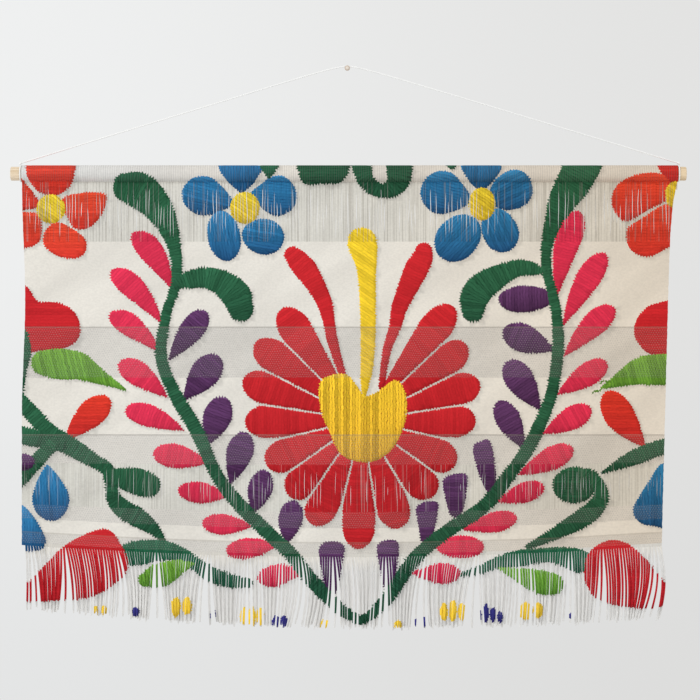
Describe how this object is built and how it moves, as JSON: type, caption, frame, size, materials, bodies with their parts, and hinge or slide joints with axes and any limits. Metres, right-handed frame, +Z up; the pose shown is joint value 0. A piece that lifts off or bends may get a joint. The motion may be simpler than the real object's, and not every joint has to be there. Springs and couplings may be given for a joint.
{
  "type": "fringed woven wall hanging on a wooden rod",
  "caption": "Fringed cotton wall hanging with an all-over flower and leaf print, sewn over a round wooden rod, with its hanging cord and wall pin.",
  "frame": {"origin": "on the pin's axis in the plane of the wall, where the wall holds the pin", "axes": "+X to the right along the rod as seen by a viewer who faces the wall, +Y into the wall, +Z up"},
  "size_m": [0.9268, 0.0394, 0.7764],
  "materials": {
    "printed_cotton": "matt woven cotton with printed satin-stitch flowers",
    "fringe_cotton": "matt cotton strands, printed where the flowers run on",
    "pale_wood": "plain sanded, unvarnished",
    "white_cord": "matt twisted cotton",
    "beige_enamel": "satin enamel"
  },
  "bodies": {
    "root": {"cloth": "printed_cotton", "fringe": "fringe_cotton", "rod": "pale_wood", "hanging_cord": "white_cord", "cord_loop_left": "white_cord", "cord_loop_right": "white_cord", "pin": "beige_enamel"}
  },
  "joints": []
}
